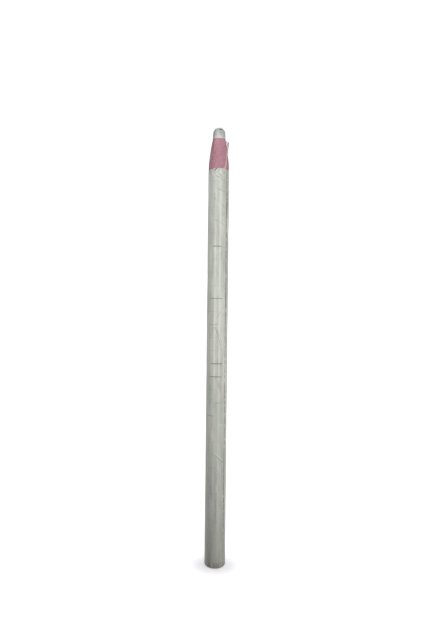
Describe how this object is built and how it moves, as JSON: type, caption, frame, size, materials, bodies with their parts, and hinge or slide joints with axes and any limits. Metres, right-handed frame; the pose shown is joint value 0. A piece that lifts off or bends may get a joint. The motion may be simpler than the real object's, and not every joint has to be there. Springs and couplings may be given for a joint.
{
  "type": "grease pencil",
  "caption": "Peel-off grease pencil: marking wax core in wound paper cut into peel rings, white paper wrapper with staggered slits, and a pull thread.",
  "frame": {"origin": "centre of the flat cut end that the pencil stands on", "axes": "+Z along the pencil's axis towards the marking tip, -Y towards the viewer, +X to the viewer's right"},
  "size_m": [0.0082, 0.0097, 0.17],
  "materials": {
    "marking_wax": "waxy satin, scuffed at the tip",
    "pink_paper": "matt, sanded on the cone",
    "white_coated_paper": "satin, glazed over the wrapped sheet",
    "cotton_thread": "matt twisted yarn"
  },
  "bodies": {
    "root": {"wax_core": "marking_wax", "paper_ring_03": "pink_paper", "paper_ring_04": "pink_paper", "paper_ring_05": "pink_paper", "paper_ring_06": "pink_paper", "paper_ring_07": "pink_paper", "paper_ring_08": "pink_paper", "paper_ring_09": "pink_paper", "paper_ring_10": "pink_paper", "paper_ring_11": "pink_paper", "paper_ring_12": "pink_paper", "paper_ring_13": "pink_paper", "paper_ring_14": "pink_paper", "paper_ring_15": "pink_paper", "paper_ring_16": "pink_paper", "paper_ring_17": "pink_paper", "paper_ring_18": "pink_paper", "paper_ring_19": "pink_paper", "paper_ring_20": "pink_paper", "paper_ring_21": "pink_paper", "paper_ring_22": "pink_paper", "paper_ring_23": "pink_paper", "paper_ring_24": "pink_paper", "paper_ring_25": "pink_paper", "paper_ring_26": "pink_paper", "paper_ring_27": "pink_paper", "paper_ring_28": "pink_paper", "paper_ring_29": "pink_paper", "paper_ring_30": "pink_paper", "paper_ring_31": "pink_paper", "paper_ring_32": "pink_paper", "paper_ring_33": "pink_paper", "white_wrapper": "white_coated_paper", "pull_thread": "cotton_thread"},
    "lower_cone_ring": {"paper_ring_02": "pink_paper"},
    "upper_cone_ring": {"paper_ring_01": "pink_paper"},
    "thread_end": {"thread_tail": "cotton_thread"}
  },
  "joints": [
    {"name": "lower_ring_lift", "type": "slide", "parent": "root", "child": "lower_cone_ring", "axis": [0, 0, 1], "range_m": [0, 0.021]},
    {"name": "upper_ring_lift", "type": "slide", "parent": "lower_cone_ring", "child": "upper_cone_ring", "axis": [0, 0, 1], "range_m": [0, 0.016]},
    {"name": "thread_swing", "type": "hinge", "parent": "root", "child": "thread_end", "pos_m": [0.00261, -0.00359, 0.15401], "axis": [0.809, 0.5878, 0], "range_deg": [0, 150]}
  ]
}
